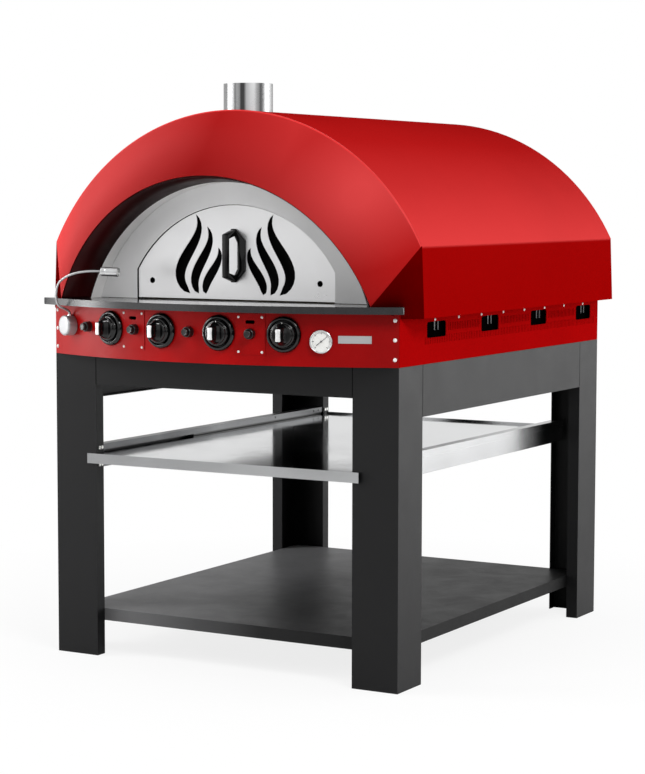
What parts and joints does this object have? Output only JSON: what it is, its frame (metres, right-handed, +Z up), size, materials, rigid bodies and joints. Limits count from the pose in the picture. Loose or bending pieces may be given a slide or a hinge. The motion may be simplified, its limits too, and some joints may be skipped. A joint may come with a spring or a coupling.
{
  "type": "gas pizza oven on stand",
  "caption": "Gas pizza oven with an arched red hood and steel flame cut-out door over a bowed control panel, on a black sheet-metal stand with a pull-out tray, goose-neck lamp and short flue.",
  "frame": {"origin": "On the floor under the middle of the overall footprint (knob grips to gas inlet)", "axes": "+Z up; the mouth and controls face -Y; +X to the right seen from behind the mouth looking along +Y"},
  "size_m": [1.132, 1.4772, 1.541],
  "materials": {
    "stand": "satin",
    "steel": "brushed",
    "polished": "mirror polished",
    "red_paint": "gloss",
    "red_dark": "gloss",
    "slab": "polished",
    "stone": "matte",
    "wool": "matte",
    "fasteners": "polished",
    "black_plastic": "gloss",
    "black_handle": "satin",
    "brass": "satin",
    "glass": "clear",
    "lamp_metal": "satin"
  },
  "bodies": {
    "stand": {"leg_front_left": "stand", "leg_front_right": "stand", "leg_rear_left": "stand", "leg_rear_right": "stand", "apron_front": "stand", "apron_rear": "stand", "apron_left": "stand", "apron_right": "stand", "bottom_shelf": "stand", "shelf_brackets": "stand", "stand_bolts": "fasteners", "rail_left": "steel", "rail_right": "steel", "rail_bolts": "fasteners", "base_floor": "stand", "base_side_left": "red_paint", "base_side_right": "red_paint", "base_rear": "red_paint", "oven_deck": "steel", "control_panel": "red_paint", "service_hatches": "red_paint", "panel_screws": "fasteners", "name_plate": "steel", "worktop": "slab", "floor_tiles": "stone", "oven_vault": "stone", "insulation_blanket": "wool", "throat_liner": "steel", "door_surround": "steel", "mouth_lining": "red_dark", "hood_fascia": "red_paint", "hood_shell": "red_paint", "hood_rear": "red_paint", "hood_screws": "fasteners", "flue_pipe": "polished", "gas_rail": "brass", "gas_valves": "brass", "floor_burners": "steel", "flame_burners": "steel", "knob_bezels": "black_plastic", "button_collars": "black_plastic", "thermometer_case": "polished", "thermometer_glass": "glass", "lamp_base": "lamp_metal"},
    "door": {"door_front": "steel", "door_back": "stand", "door_handle": "black_handle"},
    "tray": {"tray": "polished", "tray_runners": "black_plastic"},
    "needle": {"thermometer_needle": "black_handle"},
    "lamp": {"lamp_neck": "lamp_metal", "lamp_head": "lamp_metal"},
    "knob_1": {"knob_1": "black_plastic"},
    "button_1": {"button_1": "black_plastic"},
    "knob_2": {"knob_2": "black_plastic"},
    "button_2": {"button_2": "black_plastic"},
    "knob_3": {"knob_3": "black_plastic"},
    "button_3": {"button_3": "black_plastic"},
    "knob_4": {"knob_4": "black_plastic"},
    "button_4": {"button_4": "black_plastic"}
  },
  "joints": [
    {"name": "door_pull", "type": "slide", "parent": "stand", "child": "door", "axis": [0, -1, 0], "range_m": [0, 0.12]},
    {"name": "tray_slide", "type": "slide", "parent": "stand", "child": "tray", "axis": [0, -1, 0], "range_m": [0, 0.45]},
    {"name": "knob_1_turn", "type": "hinge", "parent": "stand", "child": "knob_1", "pos_m": [-0.281, -0.65702, 0.902], "axis": [-0.2342, -0.9722, 0], "range_deg": [0, 180]},
    {"name": "knob_2_turn", "type": "hinge", "parent": "stand", "child": "knob_2", "pos_m": [-0.104, -0.68587, 0.902], "axis": [-0.0867, -0.9962, 0], "range_deg": [0, 180]},
    {"name": "knob_3_turn", "type": "hinge", "parent": "stand", "child": "knob_3", "pos_m": [0.073, -0.68816, 0.902], "axis": [0.0608, -0.9981, 0], "range_deg": [0, 180]},
    {"name": "knob_4_turn", "type": "hinge", "parent": "stand", "child": "knob_4", "pos_m": [0.25, -0.66405, 0.902], "axis": [0.2083, -0.9781, 0], "range_deg": [0, 180]},
    {"name": "button_1_press", "type": "slide", "parent": "stand", "child": "button_1", "axis": [0.3079, 0.9514, 0], "range_m": [0, 0.004], "stiffness_N_per_m": 600},
    {"name": "button_2_press", "type": "slide", "parent": "stand", "child": "button_2", "axis": [0.1604, 0.987, 0], "range_m": [0, 0.004], "stiffness_N_per_m": 600},
    {"name": "button_3_press", "type": "slide", "parent": "stand", "child": "button_3", "axis": [0.0129, 0.9999, 0], "range_m": [0, 0.004], "stiffness_N_per_m": 600},
    {"name": "button_4_press", "type": "slide", "parent": "stand", "child": "button_4", "axis": [-0.1346, 0.9909, 0], "range_m": [0, 0.004], "stiffness_N_per_m": 600},
    {"name": "thermometer_turn", "type": "hinge", "parent": "stand", "child": "needle", "pos_m": [0.344, -0.64002, 0.886], "axis": [-0.2867, 0.958, 0], "range_deg": [-186, 84]},
    {"name": "lamp_swivel", "type": "hinge", "parent": "stand", "child": "lamp", "pos_m": [-0.447, -0.61245, 0.925], "axis": [0, 0, -1], "range_deg": [-25, 45]}
  ]
}
